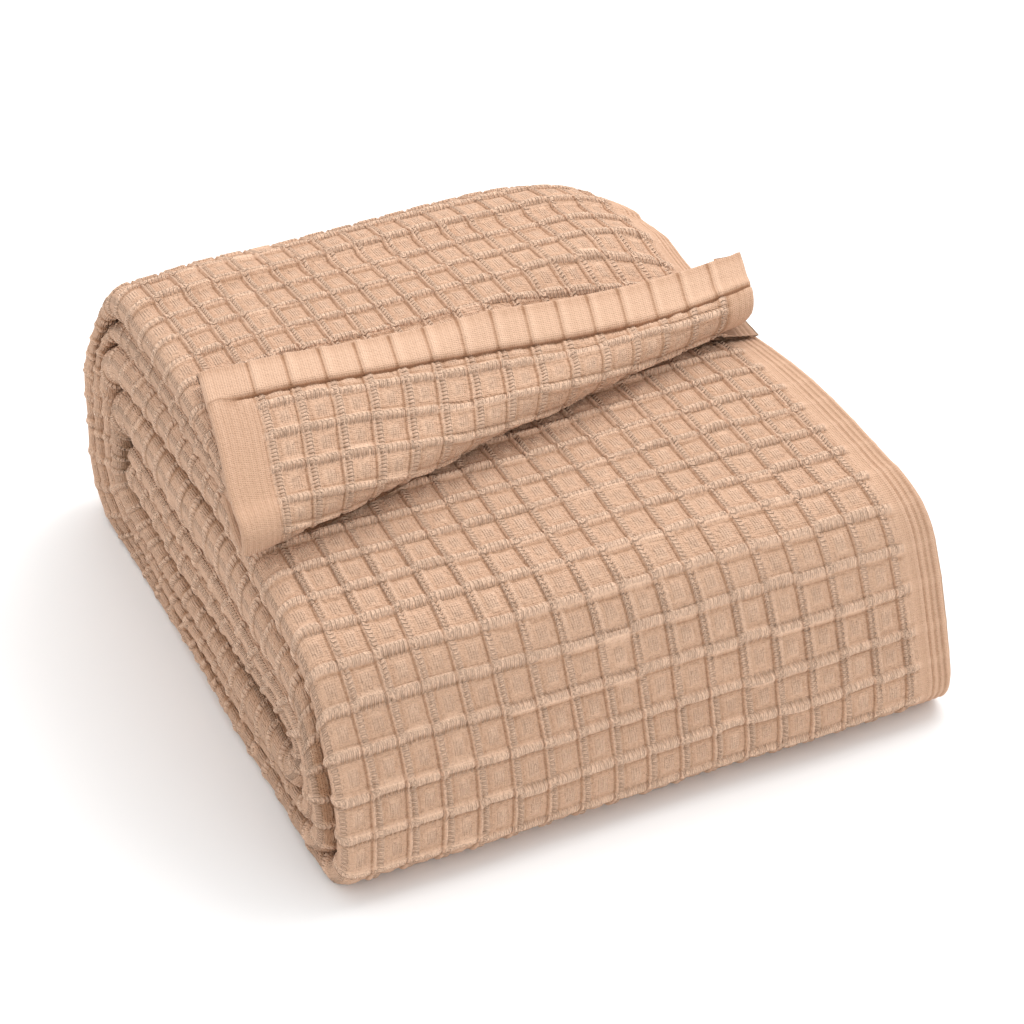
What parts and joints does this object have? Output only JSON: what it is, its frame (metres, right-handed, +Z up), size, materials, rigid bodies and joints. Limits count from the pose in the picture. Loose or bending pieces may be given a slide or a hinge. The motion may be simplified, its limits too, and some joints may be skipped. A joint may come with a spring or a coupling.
{
  "type": "rolled waffle weave cotton blanket",
  "caption": "Waffle weave cotton blanket, folded lengthwise, rolled flat and resting on its flat sole, with its hemmed loose end turned back on top.",
  "frame": {"origin": "middle of the bounding box on the surface that the roll rests on", "axes": "+X along the roll towards its free edges, +Y to the back, +Z up"},
  "size_m": [0.419, 0.4488, 0.246],
  "materials": {
    "cotton": "matte undyed tan cotton in a raised waffle weave"
  },
  "bodies": {
    "root": {"blanket": "cotton"}
  },
  "joints": []
}
